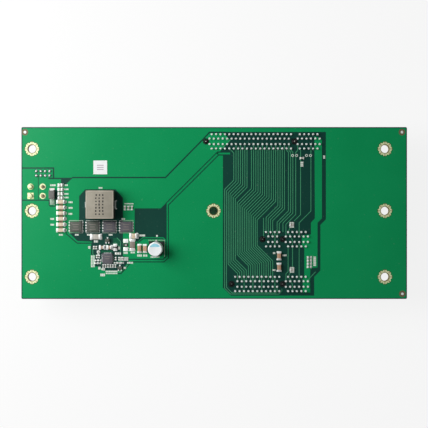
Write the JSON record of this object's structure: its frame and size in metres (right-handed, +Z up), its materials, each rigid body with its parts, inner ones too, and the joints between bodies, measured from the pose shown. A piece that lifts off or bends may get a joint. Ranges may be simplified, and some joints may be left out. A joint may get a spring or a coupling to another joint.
{
  "type": "riser backplane board",
  "caption": "Green riser backplane board, solder side up, with a step-down converter on top and card edge slots and headers below.",
  "frame": {"origin": "middle of the board's outline, at the lowest point of the power header", "axes": "+X along the board's length, +Y across it as in the picture, +Z up out of the solder side"},
  "size_m": [0.175, 0.078, 0.0221],
  "materials": {
    "laminate": "green solder mask over glass laminate",
    "slot_plastic": "black moulded",
    "header_plastic": "black moulded",
    "contact_metal": "plated",
    "tin": "tinned",
    "core": "pressed powder core",
    "mould": "moulded package",
    "can": "satin",
    "capacitor_base": "black moulded",
    "ceramic": "tan ceramic, tinned ends",
    "resistor": "dark glaze, tinned ends",
    "paper": "white label stock"
  },
  "bodies": {
    "root": {"bleed_resistor": "resistor", "board": "laminate", "bulk_capacitor_base": "capacitor_base", "bulk_capacitor_can": "can", "bulk_capacitor_leads": "tin", "bypass_capacitor": "ceramic", "controller_body": "mould", "controller_chips": "resistor", "controller_pads": "tin", "drive_capacitor_1": "ceramic", "drive_capacitor_2": "ceramic", "drive_resistor": "resistor", "driver_transistor_body": "mould", "driver_transistor_leads": "tin", "feedback_transistor_body": "mould", "feedback_transistor_leads": "tin", "inductor_core": "core", "inductor_left_terminal": "tin", "inductor_right_terminal": "tin", "input_capacitor_1": "ceramic", "input_capacitor_2": "ceramic", "input_capacitor_3": "ceramic", "input_capacitor_4": "ceramic", "input_capacitor_5": "ceramic", "input_capacitor_6": "ceramic", "input_chips": "resistor", "input_diode_body": "mould", "input_diode_leads": "tin", "label": "paper", "long_slot_housing": "slot_plastic", "long_slot_inner_contacts": "contact_metal", "long_slot_outer_contacts": "contact_metal", "medium_slot_housing": "slot_plastic", "medium_slot_inner_contacts": "contact_metal", "medium_slot_outer_contacts": "contact_metal", "output_capacitor_1": "ceramic", "output_capacitor_2": "ceramic", "power_header_housing": "header_plastic", "power_header_pins": "tin", "pull_up_chips": "resistor", "sense_chips": "resistor", "sense_resistor": "resistor", "short_slot_housing": "slot_plastic", "short_slot_inner_contacts": "contact_metal", "short_slot_outer_contacts": "contact_metal", "signal_header_base": "header_plastic", "signal_header_pins": "tin", "slot_capacitor_1": "ceramic", "slot_capacitor_2": "ceramic", "slot_chips": "resistor", "switch_1_body": "mould", "switch_1_leads": "tin", "switch_2_body": "mould", "switch_2_leads": "tin", "switch_3_body": "mould", "switch_3_leads": "tin", "switch_4_body": "mould", "switch_4_leads": "tin"}
  },
  "joints": []
}
